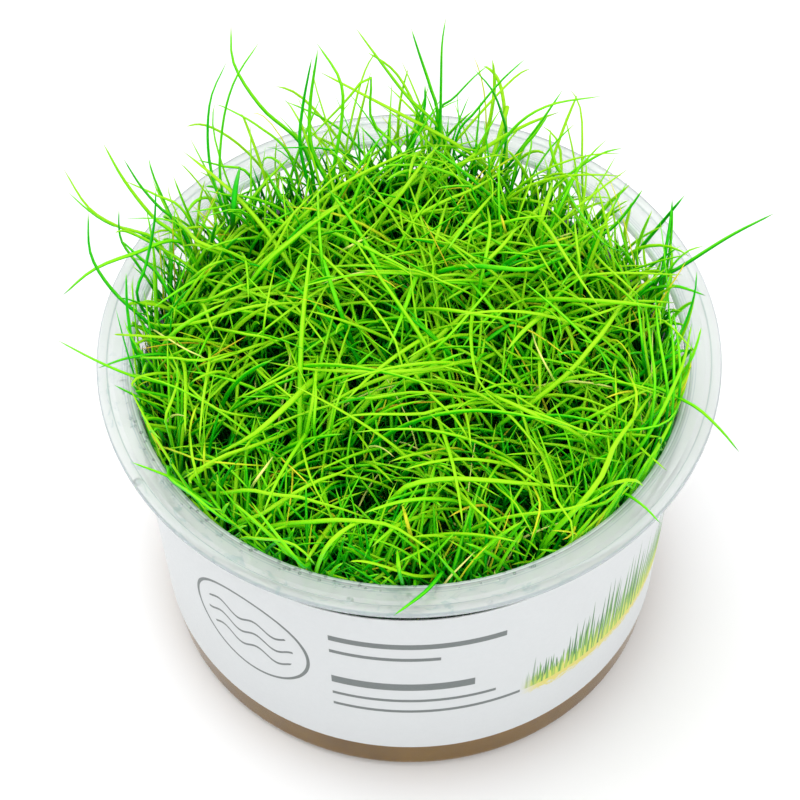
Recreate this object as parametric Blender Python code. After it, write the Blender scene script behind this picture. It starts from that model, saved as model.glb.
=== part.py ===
"""Dwarf hairgrass grown in a clear plastic cup, with a paper label round the wall and gel in the base.

Metres, +Z up. The origin is the middle of the cup's underside, and -Y is the side that the label faces.
"""
import math
import random

import bmesh
import bpy
from mathutils import Matrix, Vector

MM = 0.001

# Cup, moulded in one piece from clear plastic
CUP_HEIGHT = 61.0 * MM
FLANGE_RADIUS = 50.0 * MM
FLANGE_THICKNESS = 0.9 * MM
LIP_RADIUS = 48.4 * MM        # the flange's outer lip stands a little higher from here outwards
LIP_RISE = 0.25 * MM
MOUTH_RADIUS = 45.0 * MM
WALL_RADIUS_BASE = 40.4 * MM  # outer radius, carried straight down to the table
WALL_TAPER = 0.0728           # outer radius gained for each unit of height
WALL_THICKNESS = 0.7 * MM
FLOOR_THICKNESS = 0.9 * MM
BASE_ROUND = 2.4 * MM
CUP_STEPS = 48

# Label, a paper strip wrapped round the wall whose ends nearly meet at the back
LABEL_BOTTOM = 8.0 * MM
LABEL_TOP = 50.8 * MM
LABEL_THICKNESS = 0.2 * MM
LABEL_CLEARANCE = 0.25 * MM
LABEL_END_GAP = math.radians(2.0)
LABEL_STEPS = 48

# Growth gel
GEL_LEVEL = 11.0 * MM
GEL_EDGE_RISE = 0.4 * MM
FIT_GAP = 0.3 * MM
GEL_STEPS = 40

# Hairgrass: the dense mat of stems, the tufts that stand out of it, and the blades
MAT_FRONT_LEVEL = 53.0 * MM
MAT_BACK_LEVEL = 59.0 * MM
MAT_EDGE_RISE = 2.5 * MM
MAT_LUMP = 1.3 * MM
MAT_STEPS = 30
BLADE_FOOT = 4.0 * MM         # how far the foot of a blade or tuft is sunk in the mat
LONG_BLADE_WIDTH = 1.0 * MM
SHORT_BLADE_WIDTH = 0.9 * MM
SHORT_BLADE_RISE = (8.0 * MM, 16.0 * MM)
SHORT_BLADE_REACH = (3.0 * MM, 18.0 * MM)
SHORT_BLADES = 130
TUFT_WIDTH = 4.8 * MM
TUFT_RISE = (9.0 * MM, 15.0 * MM)
TUFT_REACH = (3.0 * MM, 10.0 * MM)
TUFTS = 62
BLADE_TIP = 0.45              # width at the tip as a share of the full width
TUFT_TIP = 0.12
BLADE_FULLNESS = 2.0          # the higher, the longer a blade or tuft keeps its width
TUFT_FULLNESS = 1.2
BACK_GROWTH = 0.45            # how much taller the crop is at the back than in the middle
BEND = 1.6                    # a blade leans over as this power of the way along it
DROOP = 0.28                  # share of its rise that a bent blade loses at its tip
LONG_FOOT_INWARD = 0.88       # a long blade's foot stands this share of its first point's radius out
WALL_GAP = 0.5 * MM
PIECE_GAP = 0.35 * MM
SEED = 7

# Long blades that give the plant its outline. Each is drawn by hand, in whole millimetres,
# as points from where it leaves the mat to its tip.
LONG_BLADES = (
    ((-17, 35, 67), (-23, 37, 78), (-28, 40, 86), (-28, 43, 92)),
    ((-29, 27, 65), (-32, 32, 73), (-32, 35, 82), (-29, 38, 88)),
    ((-28, 29, 66), (-30, 33, 77), (-28, 35, 86), (-23, 37, 94)),
    ((-20, 36, 66), (-25, 38, 72), (-31, 41, 74)),
    ((-12, 31, 66), (-10, 35, 78), (-11, 37, 85), (-14, 41, 90)),
    ((-12, 28, 64), (-15, 33, 73), (-15, 36, 80), (-14, 38, 92)),
    ((-17, 30, 63), (-18, 34, 72), (-18, 37, 79), (-16, 39, 88)),
    ((5, 38, 68), (0, 40, 78), (-4, 40, 86), (-8, 42, 92)),
    ((-2, 33, 66), (-6, 37, 75), (-6, 38, 84), (-10, 37, 79), (-18, 35, 70)),
    ((6, 40, 71), (4, 41, 78), (2, 43, 84), (1, 43, 90)),
    ((-1, 36, 66), (1, 39, 74), (2, 40, 79)),
    ((8, 38, 69), (7, 39, 79), (6, 41, 89), (6, 41, 95)),
    ((3, 37, 71), (8, 39, 77), (12, 40, 82), (15, 41, 84)),
    ((17, 37, 67), (17, 39, 73), (14, 40, 79), (11, 41, 83)),
    ((9, 35, 68), (12, 38, 75), (15, 40, 81), (19, 40, 86)),
    ((14, 34, 65), (19, 37, 73), (24, 38, 78), (32, 39, 78)),
    ((19, 33, 65), (22, 36, 71), (24, 38, 75)),
    ((27, 30, 63), (24, 33, 70), (23, 34, 75)),
    ((23, 30, 62), (28, 32, 68), (32, 33, 71), (35, 33, 72)),
    ((28, 20, 61), (33, 20, 67), (36, 21, 72), (38, 21, 76)),
    ((37, 12, 63), (44, 12, 68), (51, 12, 75), (58, 12, 81)),
    ((40, 15, 63), (42, 14, 69), (45, 14, 73), (47, 15, 74)),
    ((37, 8, 61), (42, 8, 66), (46, 8, 66), (48, 7, 65)),
    ((39, -3, 61), (43, 0, 68), (45, 2, 73), (45, 4, 77)),
    ((40, -9, 61), (43, -8, 66), (45, -7, 71)),
    ((34, -8, 61), (44, -15, 67), (48, -19, 66), (52, -21, 62)),
    ((33, -18, 60), (37, -22, 64), (41, -26, 65)),
    ((30, -27, 59), (36, -32, 64), (40, -35, 63)),
    ((6, -39, 59), (2, -46, 64), (-3, -51, 62)),
    ((-39, 19, 68), (-46, 18, 74), (-51, 17, 78), (-55, 20, 84)),
    ((-36, 14, 64), (-44, 14, 71), (-51, 14, 74), (-55, 16, 77)),
    ((-35, 19, 66), (-41, 21, 72), (-45, 22, 79), (-48, 23, 86)),
    ((-34, 23, 66), (-40, 25, 73), (-43, 26, 78), (-45, 27, 83)),
    ((-33, 26, 67), (-40, 28, 72), (-46, 29, 73)),
    ((-40, 4, 63), (-47, 6, 69), (-50, 9, 75), (-50, 13, 82)),
    ((-35, 11, 65), (-43, 10, 70), (-50, 9, 70), (-56, 8, 64)),
    ((-36, -5, 60), (-44, -7, 66), (-49, -6, 69), (-55, -5, 72)),
    ((-36, 0, 61), (-44, -1, 66), (-50, -2, 63)),
    ((-38, -8, 60), (-43, -10, 64), (-47, -11, 66)),
    ((-33, -24, 57), (-38, -25, 63), (-43, -23, 64)),
    ((-41, 10, 66), (-45, 12, 72), (-46, 14, 78)),
    ((-35, 6, 63), (-40, 8, 69), (-43, 10, 71), (-46, 11, 74)),
    ((-40, 1, 61), (-41, 7, 71), (-40, 11, 78), (-40, 13, 85)),
    ((-39, -3, 61), (-44, 1, 68), (-45, 4, 75)),
    ((-24, 31, 66), (-30, 33, 70), (-35, 32, 72)),
)

PLASTIC_COLOUR = (0.93, 0.95, 0.95, 1.0)
LABEL_COLOUR = (0.86, 0.87, 0.87, 1.0)
GEL_COLOUR = (0.27, 0.17, 0.045, 1.0)
GRASS_COLOUR = (0.22, 0.52, 0.01, 1.0)


def clear_scene():
    for old in list(bpy.data.objects):
        bpy.data.objects.remove(old, do_unlink=True)


def make_material(name, colour, roughness, transmission=0.0):
    material = bpy.data.materials.new(name)
    material.use_nodes = True
    shader = material.node_tree.nodes["Principled BSDF"]
    shader.inputs["Base Color"].default_value = colour
    shader.inputs["Roughness"].default_value = roughness
    shader.inputs["Metallic"].default_value = 0.0
    shader.inputs["Transmission Weight"].default_value = transmission
    return material


def add_object(name, bm, material):
    bmesh.ops.recalc_face_normals(bm, faces=bm.faces)
    mesh = bpy.data.meshes.new(name)
    bm.to_mesh(mesh)
    bm.free()
    mesh.shade_smooth()
    mesh.set_sharp_from_angle(angle=math.radians(35.0))
    mesh.materials.append(material)
    piece = bpy.data.objects.new(name, mesh)
    bpy.context.collection.objects.link(piece)
    return piece


def arc(centre_r, centre_z, radius, start_deg, end_deg, steps):
    """Points of a round in a turned outline, as (radius, height)."""
    points = []
    for step in range(steps + 1):
        angle = math.radians(start_deg + (end_deg - start_deg) * step / steps)
        points.append((centre_r + radius * math.cos(angle), centre_z + radius * math.sin(angle)))
    return points


def turned(outline, steps, closed=False, turn=2.0 * math.pi, start=0.0):
    """A body turned about the Z axis from an outline of (radius, height) points."""
    bm = bmesh.new()
    heading = Matrix.Rotation(start, 3, "Z")
    verts = [bm.verts.new(heading @ Vector((r, 0.0, z))) for r, z in outline]
    edges = [bm.edges.new(pair) for pair in zip(verts, verts[1:])]
    if closed:
        edges.append(bm.edges.new((verts[-1], verts[0])))
    full = abs(turn - 2.0 * math.pi) < 1e-9
    if not full:
        bm.faces.new(verts)
    geometry = verts + edges if full else verts + edges + list(bm.faces)
    bmesh.ops.spin(bm, geom=geometry, axis=(0, 0, 1), cent=(0, 0, 0), angle=turn, steps=steps,
                   use_merge=full)
    bmesh.ops.remove_doubles(bm, verts=bm.verts, dist=1e-6)
    return bm


def wall_outer(height):
    return WALL_RADIUS_BASE + WALL_TAPER * height


def wall_inner(height):
    return wall_outer(height) - WALL_THICKNESS


def cup(material):
    """The cup: flat floor, tapered wall, and a wide flange with a low lip."""
    flange_top = CUP_HEIGHT - LIP_RISE
    flange_under = CUP_HEIGHT - FLANGE_THICKNESS - LIP_RISE
    base_centre = wall_outer(BASE_ROUND) - BASE_ROUND
    mouth_round = MOUTH_RADIUS - wall_inner(flange_top - 1.0 * MM)
    inner_round = BASE_ROUND - WALL_THICKNESS
    outline = [(0.0, 0.0)]
    outline += arc(base_centre, BASE_ROUND, BASE_ROUND, -90.0, 0.0, 3)
    outline += [
        (wall_outer(flange_under - 0.8 * MM), flange_under - 0.8 * MM),
        (wall_outer(flange_under) + 0.8 * MM, flange_under),
        (FLANGE_RADIUS - 0.2 * MM, flange_under),
        (FLANGE_RADIUS, flange_under + 0.3 * MM),
        (FLANGE_RADIUS, CUP_HEIGHT - 0.2 * MM),
        (FLANGE_RADIUS - 0.2 * MM, CUP_HEIGHT),
        (LIP_RADIUS, CUP_HEIGHT),
        (LIP_RADIUS - 0.2 * MM, flange_top),
    ]
    outline += arc(MOUTH_RADIUS, flange_top - mouth_round, mouth_round, 90.0, 180.0, 2)
    outline += arc(base_centre, BASE_ROUND, inner_round, 0.0, -90.0, 2)
    outline += [(0.0, FLOOR_THICKNESS)]
    return add_object("cup", turned(outline, CUP_STEPS), material)


def label(material):
    """The label: a thin strip that follows the wall's taper."""
    inner = LABEL_CLEARANCE
    outer = LABEL_CLEARANCE + LABEL_THICKNESS
    outline = [
        (wall_outer(LABEL_BOTTOM) + inner, LABEL_BOTTOM),
        (wall_outer(LABEL_BOTTOM) + outer, LABEL_BOTTOM),
        (wall_outer(LABEL_TOP) + outer, LABEL_TOP),
        (wall_outer(LABEL_TOP) + inner, LABEL_TOP),
    ]
    strip = turned(outline, LABEL_STEPS, closed=True, turn=2.0 * math.pi - LABEL_END_GAP,
                   start=math.radians(90.0) + LABEL_END_GAP / 2.0)
    return add_object("label", strip, material)


def growth_gel(material):
    """The gel: a low disc that fills the cup's base and climbs a little at the wall."""
    corner = BASE_ROUND
    floor_level = FLOOR_THICKNESS + FIT_GAP
    edge_level = GEL_LEVEL + GEL_EDGE_RISE
    outline = [
        (0.0, floor_level),
        (wall_inner(corner) - corner, floor_level),
        (wall_inner(corner) - FIT_GAP, floor_level + corner),
        (wall_inner(edge_level) - FIT_GAP, edge_level),
        (wall_inner(GEL_LEVEL) - 2.0 * MM, GEL_LEVEL),
        (0.0, GEL_LEVEL),
    ]
    return add_object("growth_gel", turned(outline, GEL_STEPS), material)


def mat_level(x, y):
    """Height of the mat's top: higher at the back and by the wall, and lumpy."""
    radius = math.hypot(x, y) / MOUTH_RADIUS
    slope = 0.5 + 0.5 * y / MOUTH_RADIUS
    level = MAT_FRONT_LEVEL + (MAT_BACK_LEVEL - MAT_FRONT_LEVEL) * slope
    lumps = math.sin(x / (5.5 * MM) + 1.0) * math.cos(y / (6.5 * MM)) + 0.6 * math.sin((x - y) / (4.0 * MM))
    return level + MAT_EDGE_RISE * radius ** 4 + MAT_LUMP * lumps * (1.0 - 0.6 * radius)


def mat_body():
    """The mat of stems and runners, which fills the cup from the gel to just under the rim."""
    foot = GEL_LEVEL + GEL_EDGE_RISE + FIT_GAP
    edge = wall_inner(MAT_FRONT_LEVEL) - 2.0 * FIT_GAP
    rings = (1.0, 0.93, 0.74, 0.56, 0.38, 0.20)
    outline = [(0.0, foot), (wall_inner(foot) - 2.0 * FIT_GAP, foot)]
    outline += [(edge * ring, MAT_FRONT_LEVEL) for ring in rings]
    outline += [(0.0, MAT_FRONT_LEVEL)]
    bm = turned(outline, MAT_STEPS)
    for vert in bm.verts:
        if vert.co.z > MAT_FRONT_LEVEL - 0.5 * MM:
            vert.co.z = mat_level(vert.co.x, vert.co.y)
    return bm


def long_blade_path(points):
    """A long blade, from its foot sunk in the mat to its tip."""
    points = [Vector(point) * MM for point in points]
    first = points[0]
    foot = Vector((first.x * LONG_FOOT_INWARD, first.y * LONG_FOOT_INWARD, 0.0))
    foot.z = mat_level(foot.x, foot.y) - BLADE_FOOT
    return [foot] + points


def crop_path(rng, rise_range, reach_range, shares):
    """A blade or tuft of the crop, which leans and bends over at random, and stands taller at the back."""
    bearing = rng.uniform(0.0, 2.0 * math.pi)
    radius = (wall_inner(MAT_FRONT_LEVEL) - TUFT_WIDTH / 2.0) * math.sqrt(rng.random())
    lean = rng.uniform(0.0, 2.0 * math.pi)
    reach = rng.uniform(*reach_range)
    rise = rng.uniform(*rise_range)
    x = radius * math.cos(bearing)
    y = radius * math.sin(bearing)
    rise *= 1.0 + BACK_GROWTH * y / MOUTH_RADIUS
    foot = Vector((x, y, mat_level(x, y) - BLADE_FOOT))
    side = Vector((math.cos(lean), math.sin(lean), 0.0))
    path = []
    for t in shares:
        height = BLADE_FOOT * min(1.0, t / shares[1]) + rise * (t - DROOP * t ** 3)
        path.append(foot + side * (reach * t ** BEND) + Vector((0.0, 0.0, height)))
    return path


def thickness(share, width, tip):
    """Width of a blade or tuft at a share of its length, drawn in towards its tip."""
    fullness = BLADE_FULLNESS if tip == BLADE_TIP else TUFT_FULLNESS
    return width * (1.0 + (tip - 1.0) * share ** fullness)


def along(path, width, tip, step=0.8 * MM):
    """Closely spaced (point, half width) pairs along a path, to measure distances with."""
    lengths = [(b - a).length for a, b in zip(path, path[1:])]
    total = sum(lengths)
    run = 0.0
    points = []
    for (a, b), length in zip(zip(path, path[1:]), lengths):
        count = max(1, math.ceil(length / step))
        for k in range(count + 1):
            share = (run + length * k / count) / total
            points.append((a.lerp(b, k / count), thickness(share, width, tip) / 2.0))
        run += length
    return points


def clears_cup(points):
    """True where a blade or tuft keeps off the cup's wall and flange."""
    for point, half in points:
        radius = math.hypot(point.x, point.y)
        if point.z < CUP_HEIGHT + half + WALL_GAP and radius > wall_inner(point.z) - half - WALL_GAP:
            return False
    return True


class Spacing:
    """Remembers what has grown, on a grid of cells, so that no two blades or tufts meet."""

    CELL = 2.0 * MM

    def __init__(self):
        self.cells = {}

    def cell(self, point):
        return tuple(int(math.floor(value / self.CELL)) for value in point)

    def near(self, point, reach):
        low = self.cell(point - Vector((reach, reach, reach)))
        high = self.cell(point + Vector((reach, reach, reach)))
        for i in range(low[0], high[0] + 1):
            for j in range(low[1], high[1] + 1):
                for k in range(low[2], high[2] + 1):
                    yield from self.cells.get((i, j, k), ())

    def is_free(self, points):
        for point, half in points:
            reach = half + TUFT_WIDTH / 2.0 + PIECE_GAP
            for other, other_half in self.near(point, reach):
                if (point - other).length < half + other_half + PIECE_GAP:
                    return False
        return True

    def add(self, points):
        for point, half in points:
            self.cells.setdefault(self.cell(point), []).append((point, half))


def ring_frame(place, direction, size):
    """Matrix that lays a unit ring across a blade at the given place."""
    turn = direction.to_track_quat("Z", "Y").to_matrix().to_4x4()
    return Matrix.Translation(place) @ turn @ Matrix.Diagonal((size, size, size, 1.0))


def grow(bm, path, sides, width, tip):
    """A blade or a tuft, extruded along its path and drawn in to its tip."""
    corner = 1.0 / (2.0 * math.cos(math.pi / (2.0 * sides)) if sides % 2 else 2.0)
    frame = ring_frame(path[0], path[1] - path[0], width * corner)
    made = bmesh.ops.create_circle(bm, cap_ends=True, segments=sides, radius=1.0, matrix=frame)
    end = made["verts"][0].link_faces[0]
    last = len(path) - 1
    for index in range(1, last + 1):
        ahead = path[min(index + 1, last)] - path[index - 1]
        goal = ring_frame(path[index], ahead, thickness(index / last, width, tip) * corner)
        grown = bmesh.ops.extrude_face_region(bm, geom=[end])
        if index > 1:
            bmesh.ops.delete(bm, geom=[end], context="FACES_ONLY")
        verts = [item for item in grown["geom"] if isinstance(item, bmesh.types.BMVert)]
        end = next(item for item in grown["geom"] if isinstance(item, bmesh.types.BMFace))
        bmesh.ops.transform(bm, matrix=goal @ frame.inverted(), verts=verts)
        frame = goal


def grow_crop(bm, rng, spacing, count, sides, width, tip, ranges, shares):
    """Grows the given number of blades or tufts wherever there is room for them."""
    grown = 0
    while grown < count:
        path = crop_path(rng, *ranges, shares)
        points = along(path, width, tip)
        if clears_cup(points) and spacing.is_free(points):
            spacing.add(points)
            grow(bm, path, sides, width, tip)
            grown += 1


def hairgrass(material):
    """The plant: the mat, with the long blades, tufts and short blades grown out of it as one body."""
    rng = random.Random(SEED)
    spacing = Spacing()
    growth = bmesh.new()
    for points in LONG_BLADES:
        path = long_blade_path(points)
        spacing.add(along(path, LONG_BLADE_WIDTH, BLADE_TIP))
        grow(growth, path, 3, LONG_BLADE_WIDTH, BLADE_TIP)
    grow_crop(growth, rng, spacing, TUFTS, 4, TUFT_WIDTH, TUFT_TIP,
              (TUFT_RISE, TUFT_REACH), (0.0, 0.3, 0.65, 1.0))
    grow_crop(growth, rng, spacing, SHORT_BLADES, 3, SHORT_BLADE_WIDTH, BLADE_TIP,
              (SHORT_BLADE_RISE, SHORT_BLADE_REACH), (0.0, 0.4, 1.0))
    crop = add_object("crop", growth, material)
    crop.hide_render = True
    crop.display_type = "WIRE"
    plant = add_object("hairgrass", mat_body(), material)
    union = plant.modifiers.new("grown together", "BOOLEAN")
    union.operation = "UNION"
    union.solver = "EXACT"
    union.object = crop
    return plant


clear_scene()
plastic = make_material("clear_plastic", PLASTIC_COLOUR, 0.08, 0.9)
paper = make_material("label_paper", LABEL_COLOUR, 0.55)
gel = make_material("gel", GEL_COLOUR, 0.25, 0.3)
green = make_material("grass_green", GRASS_COLOUR, 0.4)
cup(plastic)
label(paper)
growth_gel(gel)
hairgrass(green)
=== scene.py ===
import math

import bmesh
import bpy
import numpy as np
from mathutils import Matrix, Vector


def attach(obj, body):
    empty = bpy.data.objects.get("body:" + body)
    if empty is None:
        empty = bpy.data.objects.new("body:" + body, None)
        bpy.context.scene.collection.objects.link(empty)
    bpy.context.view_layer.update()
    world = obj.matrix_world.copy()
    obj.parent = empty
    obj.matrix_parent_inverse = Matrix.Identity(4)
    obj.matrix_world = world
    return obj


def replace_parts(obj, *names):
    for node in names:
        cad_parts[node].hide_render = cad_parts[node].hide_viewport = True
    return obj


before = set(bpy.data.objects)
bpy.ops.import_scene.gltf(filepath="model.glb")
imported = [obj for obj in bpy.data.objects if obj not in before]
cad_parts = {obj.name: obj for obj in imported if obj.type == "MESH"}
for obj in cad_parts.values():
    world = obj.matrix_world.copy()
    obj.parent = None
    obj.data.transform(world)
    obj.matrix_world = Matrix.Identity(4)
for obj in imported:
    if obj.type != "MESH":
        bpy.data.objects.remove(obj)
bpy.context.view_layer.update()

# Camera: a long lens that looks down on the front of the cup. It comes first, because some
# blades are placed where the picture shows them.
CAMERA_PLACE = Vector((0.00026, -0.38368, 0.57311))
CAMERA_DOWN = math.radians(53.838)
CAMERA_YAW = math.radians(-0.267)
CAMERA_ROLL = math.radians(-0.69)
CAMERA_LENS = 180.0
SENSOR_WIDTH = 36.0
PICTURE_WIDTH = 800.0
forward = Vector((math.sin(CAMERA_YAW) * math.cos(CAMERA_DOWN), math.cos(CAMERA_YAW) * math.cos(CAMERA_DOWN),
                  -math.sin(CAMERA_DOWN)))
level = forward.cross(Vector((0.0, 0.0, 1.0))).normalized()
upward = level.cross(forward)
right = level * math.cos(CAMERA_ROLL) + upward * math.sin(CAMERA_ROLL)
above = upward * math.cos(CAMERA_ROLL) - level * math.sin(CAMERA_ROLL)
camera_data = bpy.data.cameras.new("camera")
camera_data.lens = CAMERA_LENS
camera_data.sensor_width = SENSOR_WIDTH
camera_data.clip_start = 0.05
camera_data.clip_end = 20.0
camera = bpy.data.objects.new("camera", camera_data)
facing = Matrix((right, above, -forward)).transposed().to_4x4()
camera.matrix_world = Matrix.Translation(CAMERA_PLACE) @ facing
bpy.context.collection.objects.link(camera)
bpy.context.scene.camera = camera
FOCAL_PIXELS = CAMERA_LENS / SENSOR_WIDTH * PICTURE_WIDTH
PICTURE_MIDDLE = PICTURE_WIDTH / 2.0


def sighted(across, down, height):
    """The point at a height above the table that the camera sees at a pixel of the picture."""
    ray = forward * FOCAL_PIXELS + right * (across - PICTURE_MIDDLE) - above * (down - PICTURE_MIDDLE)
    return CAMERA_PLACE + ray * ((height - CAMERA_PLACE.z) / ray.z)


# Cup: one thin moulding of clear plastic, round and slightly tapered, with a flat floor and
# a wide flat flange round its mouth. The flange's outer lip stands a little proud, where a
# lid would seal. Handling has left it hazy, with smears and small beads of condensation.
MM = 0.001
CUP_HEIGHT = 61.0 * MM
FLANGE_RADIUS = 50.0 * MM
FLANGE_THICKNESS = 0.9 * MM
FLANGE_EDGE_ROUND = 0.3 * MM
LIP_RADIUS = 48.4 * MM
LIP_RISE = 0.25 * MM
MOUTH_RADIUS = 45.0 * MM
WALL_RADIUS_BASE = 40.4 * MM
WALL_TAPER = 0.0728
WALL_THICKNESS = 0.7 * MM
FLOOR_THICKNESS = 0.9 * MM
BASE_ROUND = 2.4 * MM
UNDER_FLANGE_ROUND = 0.8 * MM
FLANGE_RING_RADIUS = 47.4 * MM  # a low ring moulded on the flange's top
FLANGE_RING_WIDTH = 0.25 * MM
FLANGE_RING_RISE = 0.04 * MM
CUP_STEPS = 192
PLASTIC_TINT = (0.94, 0.955, 0.955, 1.0)
HAZE_TINT = (0.83, 0.842, 0.855, 1.0)
MOUTH_TINT = (0.84, 0.875, 0.895, 1.0)
STREAK_TINT = (0.58, 0.69, 0.70, 1.0)
# painted shade for the lines at the flange's mouth, lip and rim
EDGE_SHADE_TINT = (0.50, 0.60, 0.65, 1.0)
DROP_TINT = (0.40, 0.50, 0.50, 1.0)
PLASTIC_IOR = 1.49
HAZE_FROM_RADIUS = 44.2 * MM  # the flange is hazier than the wall, and its mouth the haziest
HAZE_FROM_HEIGHT = 59.4 * MM
MOUTH_TO_RADIUS = 45.3 * MM
WALL_RING = 51.0 * MM         # a ring of points on the wall at this height keeps its shading even
BEADS_FROM_RADIUS = 46.6 * MM  # small beads of water stand between here and the mouth
BEADS_FULL_RADIUS = 45.4 * MM
WET_FROM = -18.0 * MM         # towards the front left the flange gets wet between these
WET_FULL = -38.0 * MM
MOUTH_SHADE_LINE_PITCH = 0.42 * MM  # painted lines of edge shade round the mouth


def wall_outer(height):
    return WALL_RADIUS_BASE + WALL_TAPER * height


def wall_inner(height):
    return wall_outer(height) - WALL_THICKNESS


def arc(centre_r, centre_z, radius, start_deg, end_deg, steps):
    """Points of a round in a turned outline, as (radius, height)."""
    angles = [math.radians(start_deg + (end_deg - start_deg) * step / steps) for step in range(steps + 1)]
    return [(centre_r + radius * math.cos(a), centre_z + radius * math.sin(a)) for a in angles]


def turned(outline, steps, closed=False, turn=2.0 * math.pi, start=0.0):
    """A body turned about the cup's axis from an outline of (radius, height) points."""
    bm = bmesh.new()
    heading = Matrix.Rotation(start, 3, "Z")
    verts = [bm.verts.new(heading @ Vector((r, 0.0, z))) for r, z in outline]
    edges = [bm.edges.new(pair) for pair in zip(verts, verts[1:])]
    if closed:
        edges.append(bm.edges.new((verts[-1], verts[0])))
    full = abs(turn - 2.0 * math.pi) < 1e-9
    cap = [] if full else [bm.faces.new(verts)]
    bmesh.ops.spin(bm, geom=verts + edges + cap, axis=(0, 0, 1), cent=(0, 0, 0), angle=turn,
                   steps=steps, use_merge=full)
    bmesh.ops.remove_doubles(bm, verts=bm.verts, dist=1e-6)
    bmesh.ops.recalc_face_normals(bm, faces=bm.faces)
    return bm


def add_piece(name, mesh, material):
    """Puts a finished mesh in the scene as a piece of the plant in its cup."""
    mesh.materials.append(material)
    piece = bpy.data.objects.new(name, mesh)
    bpy.context.collection.objects.link(piece)
    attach(piece, "root")
    return piece


def mesh_from(name, bm, sharp_deg=35.0):
    mesh = bpy.data.meshes.new(name)
    bm.to_mesh(mesh)
    bm.free()
    mesh.shade_smooth()
    mesh.set_sharp_from_angle(angle=math.radians(sharp_deg))
    return mesh


def put(tree, kind, sockets=None, **settings):
    """Adds a node. Each entry of sockets is a value or another node's output."""
    node = tree.nodes.new(kind)
    for setting, value in settings.items():
        setattr(node, setting, value)
    for socket, value in (sockets or {}).items():
        if isinstance(value, bpy.types.NodeSocket):
            tree.links.new(value, node.inputs[socket])
        else:
            node.inputs[socket].default_value = value
    return node


def calc(operation, *terms):
    """Output of a Math node on values and outputs, put in the tree that the outputs are from."""
    tree = next(term.id_data for term in terms if isinstance(term, bpy.types.NodeSocket))
    return put(tree, "ShaderNodeMath", dict(enumerate(terms)), operation=operation).outputs[0]


def plus(first, second):
    return calc("ADD", first, second)


def minus(first, second):
    return calc("SUBTRACT", first, second)


def times(first, second):
    return calc("MULTIPLY", first, second)


def either(first, second):
    return calc("MAXIMUM", first, second)


def flat_length(first, second):
    """Length of a vector given by its two outputs."""
    return calc("SQRT", plus(times(first, first), times(second, second)))


def ease(value, low, high, to_low=0.0, to_high=1.0):
    """Smoothly carries a value from one range to another."""
    sockets = {"Value": value, "From Min": low, "From Max": high, "To Min": to_low, "To Max": to_high}
    return put(value.id_data, "ShaderNodeMapRange", sockets, interpolation_type="SMOOTHSTEP").outputs[0]


def noise(place, scale, detail, roughness, distortion=0.0):
    sockets = {"Vector": place, "Scale": scale, "Detail": detail, "Roughness": roughness,
               "Distortion": distortion}
    return put(place.id_data, "ShaderNodeTexNoise", sockets).outputs["Fac"]


def tint(share, first, second):
    """Mixes two colours by a share."""
    sockets = {0: share, 6: first, 7: second}
    return put(share.id_data, "ShaderNodeMix", sockets, data_type="RGBA", clamp_factor=True).outputs[2]


def ramp(share, stops):
    """A colour ramp through (place, colour) stops."""
    node = put(share.id_data, "ShaderNodeValToRGB", {"Fac": share})
    elements = node.color_ramp.elements
    while len(elements) < len(stops):
        elements.new(0.5)
    for element, (place, colour) in zip(elements, stops):
        element.position = place
        element.color = colour
    return node.outputs["Color"]


def bump(height, distance, strength):
    sockets = {"Height": height, "Distance": distance, "Strength": strength}
    return put(height.id_data, "ShaderNodeBump", sockets).outputs["Normal"]


def new_material(name, **values):
    """A material whose even values are set straight on its shader. Gives material, tree and shader."""
    material = bpy.data.materials.new(name)
    material.use_nodes = True
    tree = material.node_tree
    shader = tree.nodes["Principled BSDF"]
    for socket, value in values.items():
        shader.inputs[socket.replace("_", " ")].default_value = value
    return material, tree, shader


def object_place(tree):
    return put(tree, "ShaderNodeTexCoord").outputs["Object"]


def cup_outline():
    flange_top = CUP_HEIGHT - LIP_RISE
    flange_under = CUP_HEIGHT - FLANGE_THICKNESS - LIP_RISE
    base_centre = wall_outer(BASE_ROUND) - BASE_ROUND
    mouth_round = MOUTH_RADIUS - wall_inner(flange_top - 1.0 * MM)
    edge = FLANGE_EDGE_ROUND
    outline = [(0.0, 0.0)]
    outline += arc(base_centre, BASE_ROUND, BASE_ROUND, -90.0, 0.0, 10)
    outline += [(wall_outer(WALL_RING), WALL_RING)]
    outline += arc(wall_outer(flange_under) + UNDER_FLANGE_ROUND, flange_under - UNDER_FLANGE_ROUND,
                   UNDER_FLANGE_ROUND, 180.0, 90.0, 5)
    outline += arc(FLANGE_RADIUS - edge, flange_under + edge, edge, -90.0, 0.0, 4)
    outline += arc(FLANGE_RADIUS - edge, CUP_HEIGHT - edge, edge, 0.0, 90.0, 4)
    outline += [(LIP_RADIUS + 0.15 * MM, CUP_HEIGHT), (LIP_RADIUS, CUP_HEIGHT - 0.08 * MM),
                (LIP_RADIUS - 0.2 * MM, flange_top)]
    for side, rise in ((1.0, 0.0), (0.3, FLANGE_RING_RISE), (-0.3, FLANGE_RING_RISE), (-1.0, 0.0)):
        outline += [(FLANGE_RING_RADIUS + side * FLANGE_RING_WIDTH, flange_top + rise)]
    outline += arc(MOUTH_RADIUS, flange_top - mouth_round, mouth_round, 90.0, 180.0, 8)
    outline += [(wall_inner(WALL_RING), WALL_RING)]
    outline += arc(base_centre, BASE_ROUND, BASE_ROUND - WALL_THICKNESS, 0.0, -90.0, 8)
    outline += [(0.0, FLOOR_THICKNESS)]
    return outline


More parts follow.
